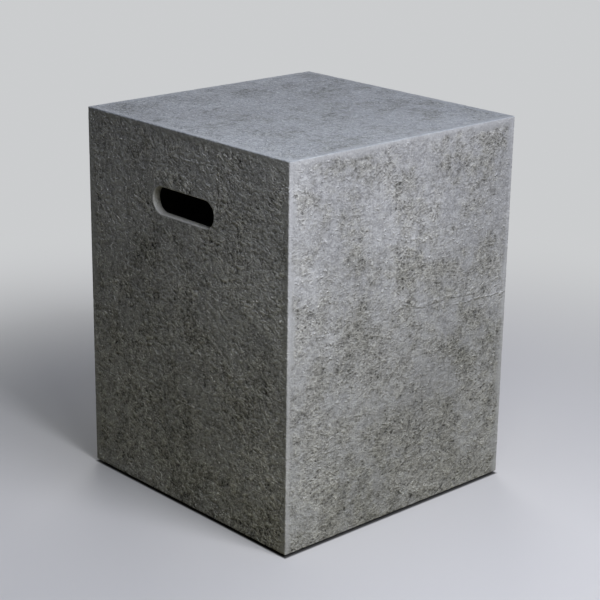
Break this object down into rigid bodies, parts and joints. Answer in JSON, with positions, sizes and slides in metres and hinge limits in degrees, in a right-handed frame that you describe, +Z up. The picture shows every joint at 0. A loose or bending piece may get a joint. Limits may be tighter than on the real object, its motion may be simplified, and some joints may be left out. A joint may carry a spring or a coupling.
{
  "type": "propane tank cover table",
  "caption": "Square cast concrete side table, open below to stand over a gas cylinder, with hand slots left and right, a hose notch in the rear rim and low rubber feet.",
  "frame": {"origin": "middle of the base, at floor level under the feet", "axes": "+Z up, +Y towards the rear face with the hose notch, +X to the right seen from the front; the hand slots are in the -X and +X faces"},
  "size_m": [0.4064, 0.4064, 0.5207],
  "materials": {
    "concrete": "matte",
    "black_rubber": "matte",
    "zinc_steel": "satin",
    "insert_brass": "satin"
  },
  "bodies": {
    "root": {"concrete_shell": "concrete", "foot_front_left": "black_rubber", "foot_front_right": "black_rubber", "foot_rear_left": "black_rubber", "foot_rear_right": "black_rubber", "washer_front_left": "zinc_steel", "washer_front_right": "zinc_steel", "washer_rear_left": "zinc_steel", "washer_rear_right": "zinc_steel", "screw_front_left": "zinc_steel", "screw_front_right": "zinc_steel", "screw_rear_left": "zinc_steel", "screw_rear_right": "zinc_steel", "anchor_front_left": "insert_brass", "anchor_front_right": "insert_brass", "anchor_rear_left": "insert_brass", "anchor_rear_right": "insert_brass"}
  },
  "joints": []
}
